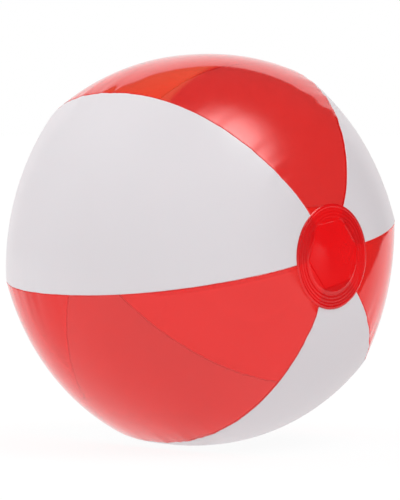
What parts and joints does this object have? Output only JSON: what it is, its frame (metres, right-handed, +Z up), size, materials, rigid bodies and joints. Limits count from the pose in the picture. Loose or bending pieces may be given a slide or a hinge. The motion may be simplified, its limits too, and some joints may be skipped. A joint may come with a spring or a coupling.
{
  "type": "inflatable beach ball",
  "caption": "Inflated beach ball of alternating opaque white and transparent red film gores, with red end discs and a push-in inflation valve.",
  "frame": {"origin": "centre of the inflated ball, half-way between the two end discs on the polar axis", "axes": "+Z up; the polar axis on which the gores end lies along Y, with the plain end disc facing -Y and the valve facing +Y; +X to the right seen from the plain end disc"},
  "size_m": [0.2766, 0.2483, 0.2734],
  "materials": {
    "white_film": "smooth glossy opaque white PVC film",
    "red_film": "smooth glossy transparent red PVC film",
    "red_disc_film": "heavier glossy transparent red PVC film with a pressed weld",
    "valve_pvc": "soft milky white PVC moulding",
    "plug_pvc": "soft milky white PVC moulding"
  },
  "bodies": {
    "ball": {"gore_1": "white_film", "gore_2": "red_film", "gore_3": "white_film", "gore_4": "red_film", "gore_5": "white_film", "gore_6": "red_film", "end_disc_front": "red_disc_film", "end_disc_valve": "red_disc_film", "valve_flange": "valve_pvc", "valve_diaphragm": "valve_pvc"},
    "stem": {"valve_stem": "valve_pvc"},
    "plug": {"valve_plug": "plug_pvc", "valve_strap": "plug_pvc"},
    "flap": {"valve_flap": "valve_pvc"}
  },
  "joints": [
    {"name": "valve_pull", "type": "slide", "parent": "ball", "child": "stem", "axis": [0, 1, 0], "range_m": [0, 0.011], "deforming": ["valve_diaphragm"]},
    {"name": "plug_flip", "type": "hinge", "parent": "stem", "child": "plug", "pos_m": [0, 0.1242, 0.0072], "axis": [1, 0, 0], "range_deg": [0, 130]},
    {"name": "flap_swing", "type": "hinge", "parent": "stem", "child": "flap", "pos_m": [0, 0.107, 0.0047], "axis": [-1, 0, 0], "range_deg": [0, 60], "stiffness_Nm_per_rad": 0.00001, "springref_deg": -11.46}
  ]
}
